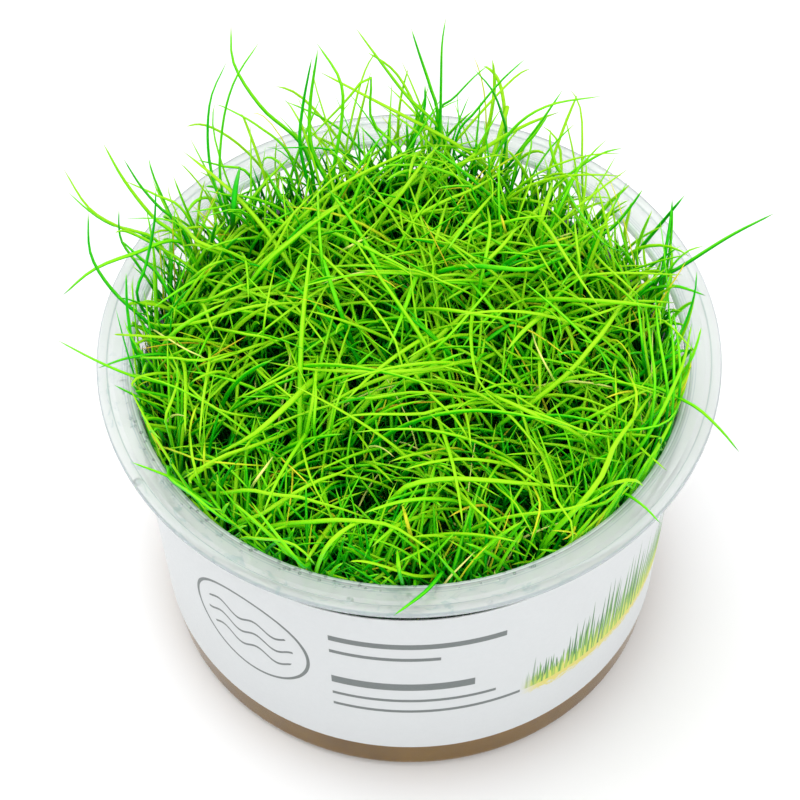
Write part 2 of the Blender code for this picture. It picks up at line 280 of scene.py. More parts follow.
def smear_group():
    """Smears of handling on plastic: how rough they make it, and their height."""
    group = bpy.data.node_groups.new("handling_smears", "ShaderNodeTree")
    for socket, kind in (("Place", "Vector"), ("Least", "Float"), ("Most", "Float")):
        group.interface.new_socket(socket, in_out="INPUT", socket_type="NodeSocket" + kind)
    for socket in ("Roughness", "Height"):
        group.interface.new_socket(socket, in_out="OUTPUT", socket_type="NodeSocketFloat")
    given = group.nodes.new("NodeGroupInput").outputs
    taken = group.nodes.new("NodeGroupOutput").inputs
    smears = noise(given["Place"], 140.0, 4.0, 0.62, 1.6)
    group.links.new(ease(smears, 0.35, 0.70, given["Least"], given["Most"]), taken["Roughness"])
    group.links.new(smears, taken["Height"])
    return group


smears_on_plastic = smear_group()


def clear_plastic(name, colour, clearness, gloss, least, most):
    """Clear plastic with smears. Gives material, tree, shader, place and the smears' height."""
    material, tree, shader = new_material(
        name, Base_Color=colour, Transmission_Weight=clearness, IOR=PLASTIC_IOR, Metallic=0.0,
        Roughness=least, Specular_IOR_Level=gloss)
    place = object_place(tree)
    smears = put(tree, "ShaderNodeGroup", node_tree=smears_on_plastic)
    tree.links.new(place, smears.inputs["Place"])
    smears.inputs["Least"].default_value = least
    smears.inputs["Most"].default_value = most
    tree.links.new(smears.outputs["Roughness"], shader.inputs["Roughness"])
    return material, tree, shader, place, smears.outputs["Height"]


def wall_plastic():
    material, tree, shader, _, smears = clear_plastic("clear_plastic", PLASTIC_TINT, 1.0, 0.05, 0.02, 0.08)
    tree.links.new(bump(smears, 0.01 * MM, 0.4), shader.inputs["Normal"])
    return material


def flange_plastic(name, colour, clearness):
    """The hazy flange, with small beads of water by its mouth, streaks at the front left, and painted lines
    of edge shade at its mouth, lip and rim.
    """
    material, tree, shader, place, smears = clear_plastic(name, colour, clearness, 0.30, 0.09, 0.20)
    axes = put(tree, "ShaderNodeSeparateXYZ", {0: place}).outputs
    radius = flat_length(axes[0], axes[1])
    wet = ease(plus(axes[1], times(axes[0], 0.6)), WET_FROM, WET_FULL)

    def drops(scale, share, size):
        cells = put(tree, "ShaderNodeTexVoronoi", {"Vector": place, "Scale": scale, "Randomness": 1.0})
        draw = put(tree, "ShaderNodeSeparateColor", {0: cells.outputs["Color"]}).outputs[0]
        chosen = calc("GREATER_THAN", draw, 1.0 - share)
        return times(ease(cells.outputs["Distance"], size, 0.4 * size), chosen)

    by_mouth = ease(radius, BEADS_FROM_RADIUS, BEADS_FULL_RADIUS)
    beads = times(drops(1300.0, 0.40, 0.45), by_mouth)
    beads = times(either(beads, drops(330.0, 0.10, 0.30)), wet)
    relief = plus(beads, times(smears, 0.004))
    tree.links.new(bump(relief, 0.25 * MM, 1.0), shader.inputs["Normal"])
    turn = times(calc("ARCTAN2", axes[1], axes[0]), 0.025)
    polar = put(tree, "ShaderNodeCombineXYZ", {0: turn, 1: radius}).outputs[0]
    streaks = ease(noise(polar, 650.0, 3.0, 0.55, 0.8), 0.54, 0.70, 0.0, 0.75)
    shade = tint(times(streaks, wet), colour, STREAK_TINT)
    shade = tint(times(beads, 0.55), shade, DROP_TINT)
    # Painted shade: thin darker lines round the mouth, at the lip and at the rim stand in for how these
    # edges catch the light.
    rings = calc("SINE", times(radius, 2.0 * math.pi / MOUTH_SHADE_LINE_PITCH))
    lines = times(ease(rings, 0.0, 0.8), ease(radius, 46.2 * MM, 45.9 * MM))
    for middle, half in ((LIP_RADIUS - 0.05 * MM, 0.14 * MM), (FLANGE_RADIUS, 0.30 * MM)):
        off = calc("ABSOLUTE", minus(radius, middle))
        lines = either(lines, ease(off, half, 0.4 * half))
    shade = tint(times(lines, 0.52), shade, EDGE_SHADE_TINT)
    tree.links.new(shade, shader.inputs["Base Color"])
    return material


cup = add_piece("cup_shell", mesh_from("cup_shell", turned(cup_outline(), CUP_STEPS)), wall_plastic())
cup.data.materials.append(flange_plastic("hazy_plastic", HAZE_TINT, 0.56))
cup.data.materials.append(flange_plastic("mouth_plastic", MOUTH_TINT, 0.30))
for face in cup.data.polygons:
    radius = math.hypot(face.center.x, face.center.y)
    if radius > HAZE_FROM_RADIUS and face.center.z > HAZE_FROM_HEIGHT:
        face.material_index = 2 if radius < MOUTH_TO_RADIUS else 1
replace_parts(cup, "cup")

# Growth gel: an agar-like nutrient gel, poured into the cup and set, moist and olive-brown.
# It fills the base, climbs a little at the wall and wets it, so it is let into the plastic by
# a hair, and it shows as a band below the label.
GEL_LEVEL = 11.0 * MM
GEL_EDGE_RISE = 0.4 * MM
GEL_WETTING = 0.35 * MM
GEL_MENISCUS = ((0.7 * MM, 0.12 * MM), (2.0 * MM, 0.0))   # way in from the wall, and rise there
GEL_STEPS = 128
GEL_DEEP = (0.250, 0.118, 0.000, 1.0)
GEL_PALE = (0.390, 0.205, 0.003, 1.0)


def gel_outline():
    corner = BASE_ROUND - WALL_THICKNESS
    edge_level = GEL_LEVEL + GEL_EDGE_RISE
    centre_r = wall_inner(BASE_ROUND) + GEL_WETTING - corner
    outline = [(0.0, FLOOR_THICKNESS - GEL_WETTING)]
    outline += arc(centre_r, FLOOR_THICKNESS - GEL_WETTING + corner, corner, -90.0, 0.0, 6)
    outline += [(wall_inner(edge_level) + GEL_WETTING, edge_level)]
    for inward, rise in GEL_MENISCUS:
        outline += [(wall_inner(GEL_LEVEL) - inward, GEL_LEVEL + rise)]
    return outline + [(0.0, GEL_LEVEL)]


def gel_material():
    material, tree, shader = new_material(
        "growth_gel", Roughness=0.22, Metallic=0.0, IOR=1.34, Specular_IOR_Level=0.0, Subsurface_Weight=0.25,
        Subsurface_Radius=(0.004, 0.003, 0.001), Subsurface_Scale=0.5)
    place = object_place(tree)
    cloud = noise(place, 60.0, 3.0, 0.55, 0.4)
    fine = noise(place, 520.0, 2.0, 0.5)
    mottle = plus(times(cloud, 0.75), times(fine, 0.25))
    tree.links.new(ramp(mottle, ((0.30, GEL_DEEP), (0.68, GEL_PALE))), shader.inputs["Base Color"])
    tree.links.new(bump(fine, 0.05 * MM, 0.4), shader.inputs["Normal"])
    return material


gel = add_piece("gel_fill", mesh_from("gel_fill", turned(gel_outline(), GEL_STEPS)), gel_material())
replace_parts(gel, "growth_gel")

# Hairgrass: a living plant grown as one mat. Runners and short stems are tangled in the cup,
# and fine round blades, bright lime to deep green, stand out of them and lean across each
# other. It roots in the gel and is held by nothing else.
MAT_FRONT_LEVEL = 53.0 * MM
MAT_BACK_LEVEL = 59.0 * MM
MAT_EDGE_RISE = 2.5 * MM
MAT_LUMP = 1.3 * MM
MAT_STEPS = 96
MAT_RINGS = 20
MAT_SUNK = 9.0 * MM           # the dark tangle lies this far below the crop's own level
TANGLE_RIPPLE = 0.7 * MM
TANGLE_FOOT = GEL_LEVEL + GEL_EDGE_RISE + 0.1 * MM
WALL_CLEARANCE = 0.45 * MM
FLANGE_CLEARANCE = 0.45 * MM
BACK_OVERHANG = 2.0           # at the back blades reach over the flange by this much more
SIDE_LEAN = 1.3 * MM          # the crop leans off the wall by this much at its right and back
SIDE_LEAN_FROM = 50.0 * MM
SIDE_LEAN_RUN = 10.0 * MM     # both the lean and its start at the side come in gently
SIDE_FROM = -6.0 * MM
SIDE_RUN = 14.0 * MM
CROP_TALLEST = 77.0 * MM      # only the outline blades stand higher and reach further out
CROP_REACH = 50.0 * MM
CROP_SLOPE = 0.067            # the crop rises towards the back by this share of its run
FOOT_RADIUS = wall_inner(45.0 * MM)
FOOT_CLEARANCE = 0.8 * MM
OPEN_FROM_RADIUS = 0.74 * MOUTH_RADIUS   # the crop is open beyond both of these
OPEN_FROM_BACK = 0.40 * MOUTH_RADIUS
WALL_TURN = (0.9, 3.1)        # radians by which blades at the wall turn from outwards to either side
OLD_WIDTH = 0.66              # old blades have shrunk to this share of their width
OLD_FROM_AGE = (0.05, 0.62)
OLD_BLEACHED = 0.22           # share of the old blades that are bleached
LEAF_SIDE_SHADES = (0.5, -0.5, 0.2, -0.3, 0.6, -0.2)   # painted highlight and shade lines along a blade's sides
LEAF_GREENS = ((0.00, (0.0001, 0.115, 0.001, 1.0)), (0.28, (0.0002, 0.290, 0.002, 1.0)),
               (0.52, (0.009, 0.520, 0.002, 1.0)), (0.76, (0.180, 0.790, 0.003, 1.0)),
               (1.00, (0.360, 0.770, 0.008, 1.0)))
LEAF_OLD = ((0.00, (0.520, 0.740, 0.010, 1.0)), (0.30, (0.780, 0.760, 0.030, 1.0)),
            (0.55, (0.820, 0.560, 0.030, 1.0)), (0.75, (0.560, 0.320, 0.030, 1.0)),
            (1.00, (0.920, 0.920, 0.230, 1.0)))
LEAF_TIP = (0.30, 0.42, 0.12, 1.0)
TANGLE_GREENS = ((0.35, (0.001, 0.050, 0.001, 1.0)), (0.62, (0.004, 0.150, 0.003, 1.0)),
                 (0.80, (0.020, 0.260, 0.005, 1.0)))
SETTLE_ROUNDS = 3
BLADE_FULLNESS = 5.0          # how late a blade tapers to its tip
BLADE_FOOT = 0.4              # share of its width that a blade has at its foot
GRASS_SEED = 11
rng = np.random.default_rng(GRASS_SEED)


def mat_level(x, y):
    """Height at which the crop of blades closes: higher at the back and by the wall, and lumpy."""
    radius = np.hypot(x, y) / MOUTH_RADIUS
    slope = 0.5 + 0.5 * y / MOUTH_RADIUS
    level = MAT_FRONT_LEVEL + (MAT_BACK_LEVEL - MAT_FRONT_LEVEL) * slope
    lumps = np.sin(x / (5.5 * MM) + 1.0) * np.cos(y / (6.5 * MM)) + 0.6 * np.sin((x - y) / (4.0 * MM))
    return level + MAT_EDGE_RISE * radius ** 4 + MAT_LUMP * lumps * (1.0 - 0.6 * radius)


def tangle_body():
    """The dark tangle of stems and runners that fills the cup under the blades."""
    edge = wall_inner(MAT_FRONT_LEVEL - MAT_SUNK) - WALL_CLEARANCE
    outline = [(0.0, TANGLE_FOOT), (wall_inner(TANGLE_FOOT) - WALL_CLEARANCE, TANGLE_FOOT)]
    outline += [(edge * (1.0 - ring / MAT_RINGS), MAT_FRONT_LEVEL) for ring in range(MAT_RINGS + 1)]
    bm = turned(outline, MAT_STEPS)
    for vert in bm.verts:
        if vert.co.z > MAT_FRONT_LEVEL - 0.5 * MM:
            x, y = vert.co.x, vert.co.y
            ripple = math.sin(x / (1.3 * MM)) * math.sin(y / (1.1 * MM) + x / (2.9 * MM))
            vert.co.z = float(mat_level(x, y)) - MAT_SUNK + TANGLE_RIPPLE * ripple
    return bm


def tangle_material():
    material, tree, shader = new_material("hairgrass_tangle", Roughness=0.7, Metallic=0.0,
                                          Specular_IOR_Level=0.15)
    place = object_place(tree)
    stems = noise(place, 420.0, 4.0, 0.65, 2.0)
    tree.links.new(ramp(stems, TANGLE_GREENS), shader.inputs["Base Color"])
    tree.links.new(bump(stems, 0.8 * MM, 0.8), shader.inputs["Normal"])
    return material


def unit(vectors):
    """Vectors along the last axis, each made one long."""
    return vectors / (np.linalg.norm(vectors, axis=-1, keepdims=True) + 1e-12)


def rings_to_mesh(name, paths, radii, flatness, sides, marks):
    """Joins many tapered blades into one mesh. Each path is a row of points from foot to tip.

    The "blade" attribute holds a blade's tone, the share of the way along it, its age and its painted
    highlight and shade lines.
    """
    count, rows, _ = paths.shape
    ahead = np.empty_like(paths)
    ahead[:, 1:-1] = paths[:, 2:] - paths[:, :-2]
    ahead[:, 0] = paths[:, 1] - paths[:, 0]
    ahead[:, -1] = paths[:, -1] - paths[:, -2]
    ahead = unit(ahead)
    across = unit(np.cross(ahead[:, 0], np.array((0.37, 0.21, 0.90))))
    points = np.empty((count, (rows - 1) * sides + 1, 3))
    for row in range(rows - 1):
        along = ahead[:, row]
        across = unit(across - along * np.sum(across * along, axis=1, keepdims=True))
        other = np.cross(along, across)
        for side in range(sides):
            turn = side * 2.0 * math.pi / sides
            offset = across * math.cos(turn) + other * math.sin(turn) * flatness[:, None]
            points[:, row * sides + side] = paths[:, row] + offset * radii[:, row, None]
    points[:, -1] = paths[:, -1]
    one = []
    for row in range(rows - 2):
        for side in range(sides):
            after = (side + 1) % sides
            one.append((row * sides + side, row * sides + after, (row + 1) * sides + after,
                        (row + 1) * sides + side))
    last = (rows - 2) * sides
    one += [(last + side, last + (side + 1) % sides, (rows - 1) * sides) for side in range(sides)]
    one.append(tuple(range(sides - 1, -1, -1)))
    step = (rows - 1) * sides + 1
    faces = [tuple(corner + blade * step for corner in face) for blade in range(count) for face in one]
    mesh = bpy.data.meshes.new(name)
    mesh.from_pydata(points.reshape(-1, 3).tolist(), [], faces)
    mesh.shade_smooth()
    values = np.empty((count, step, 4), dtype=np.float32)
    values[:, :, 0] = marks[:, 0, None]
    values[:, :, 1] = np.append(np.repeat(np.linspace(0.0, 1.0, rows)[:-1], sides), 1.0)
    values[:, :, 2] = marks[:, 1, None]
    # Painted highlight and shade lines on the sides round each blade.
    values[:, :, 3] = np.append(np.resize(LEAF_SIDE_SHADES[:sides], (rows - 1) * sides), 0.0)
    layer = mesh.attributes.new("blade", "FLOAT_COLOR", "POINT")
    layer.data.foreach_set("color", values.ravel())
    return mesh


def keep_in_cup(paths, overhang=0.2):
    """Moves points off the cup's wall, and off the flange by a share of their height above it."""
    x, y, z = paths[..., 0], paths[..., 1], paths[..., 2]
    radius = np.hypot(x, y) + 1e-9
    over = overhang * (1.0 + BACK_OVERHANG * np.clip(y / MOUTH_RADIUS, 0.0, 1.0))
    free = np.maximum(0.0, z - (CUP_HEIGHT + FLANGE_CLEARANCE)) * over
    beside = np.clip(x / radius, 0.0, 1.0) * np.clip((y - SIDE_FROM) / SIDE_RUN, 0.0, 1.0)
    inward = SIDE_LEAN * beside * np.clip((z - SIDE_LEAN_FROM) / SIDE_LEAN_RUN, 0.0, 1.0)
    room = wall_inner(np.minimum(z, CUP_HEIGHT)) - WALL_CLEARANCE - inward + free
    share = np.minimum(1.0, np.minimum(room, CROP_REACH) / radius)
    paths[..., 0] *= share
    paths[..., 1] *= share
    return paths


def settle(paths):
    """Evens out the bends that the cup's wall has made, with foot and tip held."""
    for _ in range(SETTLE_ROUNDS):
        middle = (paths[:, 2:] + paths[:, :-2]) / 2.0
        paths[:, 1:-1] = paths[:, 1:-1] * 0.5 + middle * 0.5
        paths = keep_in_cup(paths)
    return paths


def pick(count, low, high):
    return rng.uniform(low, high, count)


def pick_angle(count, low_deg, high_deg):
    return np.radians(pick(count, low_deg, high_deg))


def feet_on_mat(depth, inner=0.0, outer=1.0, toward=0.0, spread=math.pi):
    """Feet spread over the mat, sunk in it by their depths, between two shares of the wall's radius."""
    count = len(depth)
    radius = np.maximum(FOOT_RADIUS * np.sqrt(pick(count, inner ** 2, outer ** 2)) - FOOT_CLEARANCE, 0.0)
    bearing = pick(count, -spread, spread) + toward
    x, y = radius * np.cos(bearing), radius * np.sin(bearing)
    return np.stack([x, y, mat_level(x, y) - depth], axis=1), bearing


def grown_paths(feet, rows, length, lean, bend, heading, swing, power, kinked):
    """Paths that leave their feet at a lean and bend over by a further angle on their way.

    Some are broken, and bend sharply at one place.
    """
    count = len(feet)
    share = ((np.arange(rows - 1) + 0.5) / (rows - 1))[None, :]
    slant = lean[:, None] + bend[:, None] * share ** power
    heading = heading[:, None] + swing[:, None] * (share - 0.3)
    heading = heading + 0.10 * np.sin(share * 7.0 + pick(count, 0.0, 2.0 * math.pi)[:, None])
    broken = rng.random(count) < kinked
    where = pick(count, 0.35, 0.85)[:, None]
    sharply = np.where(broken, pick(count, 0.5, 1.3), 0.0)[:, None]
    slant = slant + np.where(share > where, sharply, 0.0)
    moves = np.stack([np.sin(slant) * np.cos(heading), np.sin(slant) * np.sin(heading),
                      np.cos(slant)], axis=2) * (length / (rows - 1))[:, None, None]
    paths = np.concatenate([feet[:, None, :], feet[:, None, :] + np.cumsum(moves, axis=1)], axis=1)
    foot = feet[:, 2, None]
    rise = np.max(paths[:, :, 2], axis=1)[:, None] - foot
    paths[:, :, 2] = foot + (paths[:, :, 2] - foot) * np.minimum(1.0, (CROP_TALLEST - foot) / rise)
    return settle(keep_in_cup(paths))


def half_widths(width, rows, tip):
    """Half widths from foot to tip of blades that are narrower at both ends."""
    share = np.linspace(0.0, 1.0, rows)
    to_tip = 1.0 - (1.0 - tip) * share ** BLADE_FULLNESS
    form = to_tip * (BLADE_FOOT + (1.0 - BLADE_FOOT) * np.minimum(1.0, share / 0.2))
    return form * width[:, None] / 2.0


def old_ages(count, share):
    """Ages, 0 for the green ones, of which a share is old: mostly yellow, some orange, a few bleached."""
    old = rng.random(count) < share
    bleached = rng.random(count) < OLD_BLEACHED
    return np.where(old, np.where(bleached, 1.0, pick(count, *OLD_FROM_AGE) ** 1.1), 0.0)


def leaf_material():
    """Leaf green from deep to lime by blade, with old blades yellow to brown or bleached.

    Painted shade makes a blade deeper at its foot, low in the cup and underneath, and painted light makes it
    lighter at the back and sides.
    """
    material, tree, shader = new_material(
        "hairgrass_leaf", Roughness=0.42, Metallic=0.0, Specular_IOR_Level=0.12)
    marks = put(tree, "ShaderNodeAttribute", attribute_name="blade")
    tone, along, age = put(tree, "ShaderNodeSeparateColor", {0: marks.outputs["Color"]}).outputs
    place = object_place(tree)
    x, y, z = put(tree, "ShaderNodeSeparateXYZ", {0: place}).outputs
    streak = noise(place, 1500.0, 2.0, 0.6)
    facing = put(tree, "ShaderNodeSeparateXYZ", {0: put(tree, "ShaderNodeNewGeometry").outputs["Normal"]})
    height = minus(z, times(y, CROP_SLOPE))
    level = minus(tone, 0.25)
    # Painted shade and light: the shifts by way along, height and facing darken a blade's foot, the low crop
    # and downward faces, and those by y and x lighten the back and sides.
    for shift in (
            times(noise(place, 130.0, 2.0, 0.5), 0.34),
            times(streak, 0.16),
            times(marks.outputs["Alpha"], 0.16),
            ease(along, 0.0, 0.7, -0.12, 0.06),
            ease(height, 48.5 * MM, 61.5 * MM, -0.48, 0.08),
            ease(y, 4.0 * MM, 34.0 * MM, 0.0, 0.17),
            ease(x, 5.0 * MM, 35.0 * MM, 0.0, 0.10),
            ease(x, -5.0 * MM, -35.0 * MM, 0.0, 0.06),
            ease(facing.outputs[2], -0.3, 0.8, -0.26, 0.05)):
        level = plus(level, shift)
    green, old = ramp(level, LEAF_GREENS), ramp(age, LEAF_OLD)
    colour = tint(ease(age, 0.02, 0.12), green, old)
    colour = tint(ease(along, 0.93, 1.0, 0.0, 0.35), colour, LEAF_TIP)
    tree.links.new(colour, shader.inputs["Base Color"])
    tree.links.new(ease(streak, 0.3, 0.7, 0.34, 0.52), shader.inputs["Roughness"])
    tree.links.new(bump(streak, 0.05 * MM, 0.35), shader.inputs["Normal"])
    return material


leaf = leaf_material()
tangle = add_piece("hairgrass_tangle", mesh_from("hairgrass_tangle", tangle_body(), 60.0),
                   tangle_material())
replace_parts(tangle, "hairgrass")


def add_blades(name, paths, width, tone, age, sides, flat=(0.5, 0.9), tip=0.3):
    """Gives blades their width, flattens them a little and adds them as a piece of the plant."""
    flatness = pick(len(paths), *flat)
    widths = half_widths(width, paths.shape[1], tip)
    mesh = rings_to_mesh(name, paths, widths, flatness, sides, np.stack([tone, age], axis=1))
    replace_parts(add_piece(name, mesh, leaf), "hairgrass")


def grow(name, count, rows, depth, length, lean, bend, swing, tone, width, ground=(), strewn=False,
         by_wall=False, taller=0.0, kinked=0.0, power=1.4, old=0.0, opened=0.0, sides=5):
    """Grows one kind of blade. Most settings are a least and a most, with angles in degrees.

    The lean of a strewn kind is a middle and a spread, and tone has a least and a most after these.
    Old is the share of old blades, and opened the share that is left out where the crop is open, at
    the back by the wall. The order of the draws fixes every blade, so it stays as it is.
    """
    feet, bearing = feet_on_mat(pick(count, *depth), *ground)
    side = rng.choice((-1.0, 1.0), count) if by_wall else 0.0
    if strewn:
        leans = np.radians(np.abs(rng.normal(*lean, count)))
    lengths = pick(count, *length) * (1.0 + taller * feet[:, 1] / MOUTH_RADIUS)
    if not strewn:
        leans = pick_angle(count, *lean)
    bends = pick_angle(count, *bend)
    heading = bearing + side * pick(count, *WALL_TURN) if by_wall else pick(count, -math.pi, math.pi)
    swings = pick_angle(count, *swing)
    paths = grown_paths(feet, rows, lengths, leans, bends, heading, swings, power, kinked)
    middle, spread, least, most = tone
    tones = np.clip(rng.normal(middle, spread, count), least, most)
    ages = old_ages(count, old) if old else np.zeros(count)
    kept = np.ones(count, dtype=bool)
    if opened:
        open_part = (np.hypot(feet[:, 0], feet[:, 1]) > OPEN_FROM_RADIUS) & (feet[:, 1] > OPEN_FROM_BACK)
        kept = ~(open_part & (rng.random(count) < opened))
    widths = pick(count, *width) * np.where(ages > 0.0, OLD_WIDTH, 1.0)
    add_blades(name, paths[kept], widths[kept], tones[kept], ages[kept], sides)


# Undergrowth: the short deep green blades and stems between the taller ones, packed close.
# They come straight out of the tangle.
grow("hairgrass_undergrowth", 3300, 6, depth=(9.5 * MM, 14.0 * MM), length=(10.0 * MM, 19.0 * MM),
     lean=(0.0, 22.0), strewn=True, bend=(5.0, 60.0), swing=(-40.0, 40.0), tone=(0.40, 0.15, 0.0, 0.9),
     width=(0.42 * MM, 0.8 * MM), sides=4)

# Crop: the mass of blades that arch over and cross each other all over the cup, rooted in
# the tangle. It is taller at the back, and some of its blades are broken or old.
grow("hairgrass_crop", 1150, 12, depth=(7.0 * MM, 12.0 * MM), length=(17.0 * MM, 35.0 * MM), taller=0.22,
     lean=(8.0, 18.0), strewn=True, bend=(35.0, 105.0), swing=(-35.0, 35.0), kinked=0.05,
     tone=(0.68, 0.18, 0.2, 1.0), old=0.10, opened=0.6, width=(0.42 * MM, 0.86 * MM))

# Wall blades: steep blades, rooted by the wall, that have grown up against the inside of the
# cup and lean over the crop or along the wall.
grow("hairgrass_wall", 760, 10, depth=(9.0 * MM, 16.0 * MM), ground=(0.93, 1.0), by_wall=True,
     length=(16.0 * MM, 30.0 * MM), lean=(2.0, 28.0), bend=(0.0, 55.0), swing=(-30.0, 30.0),
     tone=(0.60, 0.13, 0.2, 1.0), old=0.06, opened=0.7, width=(0.45 * MM, 0.85 * MM))

# Back growth: thin upright blades, the tallest part of the crop, which stand up at the far
# side of the cup.
grow("hairgrass_back", 120, 11, depth=(4.0 * MM, 9.0 * MM), ground=(0.45, 0.96, math.pi / 2.0, 1.15),
     length=(20.0 * MM, 33.0 * MM), lean=(0.0, 30.0), bend=(0.0, 60.0), swing=(-40.0, 40.0), kinked=0.05,
     tone=(0.46, 0.13, 0.15, 0.9), old=0.05, width=(0.4 * MM, 0.72 * MM))

# Long arcs: the longest lime blades, which bend right over and lie across the top of the
# crop.
grow("hairgrass_arcs", 110, 16, depth=(6.0 * MM, 10.0 * MM), ground=(0.0, 0.98),
     length=(28.0 * MM, 50.0 * MM), lean=(5.0, 30.0), bend=(55.0, 90.0), power=0.9, swing=(-28.0, 28.0),
     kinked=0.04, tone=(0.74, 0.13, 0.4, 1.0), width=(0.55 * MM, 1.0 * MM), sides=6)

# Outline blades: the long single blades that reach out past the rest. Each is traced
# from where it leaves the crop to its tip, as pixels of the picture, each with its height
# above the table in millimetres.
OUTLINE_BLADES = (
    ((305, 150, 68), (262, 108, 78), (234, 64, 86), (231, 24, 92)),
    ((222, 205, 66), (209, 158, 72), (210, 102, 82), (227, 61, 88)),
    ((222, 190, 67), (222, 131, 77), (234, 82, 87), (260, 41, 94)),
    ((290, 156, 67), (258, 126, 72), (226, 108, 74), (215, 104, 74)),
    ((333, 182, 66), (342, 118, 78), (340, 80, 85), (316, 42, 90)),
    ((331, 191, 64), (312, 150, 72), (310, 106, 80), (318, 48, 92)),
    ((310, 190, 64), (300, 145, 72), (303, 105, 79), (312, 57, 88)),
    ((445, 140, 68), (406, 95, 78), (380, 61, 86), (355, 27, 92)),
    ((405, 160, 68), (372, 121, 74), (370, 76, 84), (343, 104, 79), (300, 148, 70)),
    ((438, 120, 72), (430, 86, 78), (420, 56, 84), (411, 28, 90)),
    ((411, 155, 66), (424, 110, 74), (425, 84, 79)),
    ((440, 133, 70), (441, 87, 80), (442, 45, 89), (446, 17, 95)),
    ((437, 118, 72), (455, 97, 77), (475, 76, 82), (490, 64, 84)),
    ((506, 140, 68), (502, 115, 73), (492, 90, 79), (474, 69, 83)),
    ((456, 139, 69), (476, 111, 75), (500, 82, 81), (526, 58, 86)),
    ((492, 165, 65), (515, 127, 73), (550, 105, 78), (602, 96, 78)),
    ((519, 157, 66), (535, 134, 71), (549, 114, 75)),
    ((568, 191, 64), (556, 165, 69), (550, 143, 73), (551, 129, 75)),
    ((553, 192, 63), (578, 168, 68), (603, 153, 71), (623, 148, 72)),
    ((583, 248, 62), (612, 228, 67), (631, 206, 72), (643, 189, 76)),
    ((645, 289, 63), (684, 265, 68), (730, 236, 75), (775, 213, 81)),
    ((660, 286, 63), (672, 266, 68), (688, 251, 72), (704, 246, 73)),
    ((642, 294, 62), (672, 286, 66), (693, 291, 66), (706, 296, 65)),
    ((659, 366, 62), (682, 330, 67), (694, 296, 73), (697, 270, 77)),
    ((668, 398, 62), (684, 378, 66), (693, 350, 71)),
    ((636, 384, 62), (689, 403, 67), (718, 427, 66), (740, 453, 62)),
    ((625, 436, 61), (645, 452, 64), (667, 471, 64)),
    ((617, 492, 60), (641, 504, 64), (661, 524, 63)),
    ((442, 573, 60), (425, 592, 63), (393, 616, 62)),
    ((158, 242, 68), (119, 227, 73), (88, 207, 78), (63, 168, 84)),
    ((150, 240, 67), (110, 224, 70), (88, 210, 73), (68, 192, 76)),
    ((182, 242, 67), (153, 217, 72), (124, 180, 79), (103, 143, 86)),
    ((180, 228, 68), (158, 206, 73), (140, 185, 77), (123, 158, 82)),
    ((185, 213, 69), (156, 195, 72), (125, 181, 73)),
    ((149, 324, 64), (114, 292, 69), (91, 255, 75), (88, 211, 82)),
    ((182, 243, 67), (133, 254, 72), (93, 270, 70), (62, 296, 64)),
    ((174, 388, 61), (130, 375, 66), (95, 360, 69), (57, 340, 72)),
    ((175, 357, 62), (133, 357, 65), (98, 368, 63)),
    ((153, 405, 61), (132, 394, 64), (114, 385, 66)),
    ((197, 494, 58), (172, 478, 63), (131, 462, 64)),
    ((140, 268, 67), (123, 244, 71), (119, 228, 74), (119, 209, 78)),
    ((174, 302, 64), (158, 274, 68), (139, 257, 71), (120, 239, 74)),
    ((138, 300, 66), (146, 265, 71), (154, 225, 78), (156, 188, 85)),
    ((138, 355, 62), (128, 315, 68), (126, 272, 75)),
    ((250, 176, 67), (222, 166, 70), (197, 160, 72)),
)
OUTLINE_ROWS = 20
OUTLINE_FOOT_INWARD = 0.88
OUTLINE_FOOT_DEPTH = 4.0 * MM


def smooth_path(points, rows):
    """A path of evenly spaced rows on a smooth curve through the given points."""
    points = np.asarray(points, dtype=float)
    ends = np.vstack([2 * points[0] - points[1], points, 2 * points[-1] - points[-2]])
    fine = []
    for k in range(len(points) - 1):
        a, b, c, d = ends[k:k + 4]
        for t in np.linspace(0.0, 1.0, 16, endpoint=False):
            fine.append(0.5 * (2 * b + (c - a) * t + (2 * a - 5 * b + 4 * c - d) * t ** 2
                               + (3 * b - a - 3 * c + d) * t ** 3))
    fine = np.array(fine + [points[-1]])
    run = np.concatenate([[0.0], np.cumsum(np.linalg.norm(np.diff(fine, axis=0), axis=1))])
    stations = np.linspace(0.0, run[-1], rows)
    return np.stack([np.interp(stations, run, fine[:, axis]) for axis in range(3)], axis=1)


def outline_path(pixels):
    """A traced blade in the scene, with its foot added, sunk in the mat."""
    points = np.array([sighted(across, down, height * MM) for across, down, height in pixels])
    x, y = points[0, :2] * OUTLINE_FOOT_INWARD
    root = [x, y, float(mat_level(x, y)) - OUTLINE_FOOT_DEPTH]
    return smooth_path(np.vstack([root, points]), OUTLINE_ROWS)


paths = np.array([outline_path(blade) for blade in OUTLINE_BLADES])
tone = np.clip(rng.normal(0.42, 0.12, len(paths)), 0.15, 0.75)
width = pick(len(paths), 0.55 * MM, 0.78 * MM)
add_blades("hairgrass_outline", paths, width, tone, np.zeros(len(paths)), sides=6, flat=(0.7, 0.95))

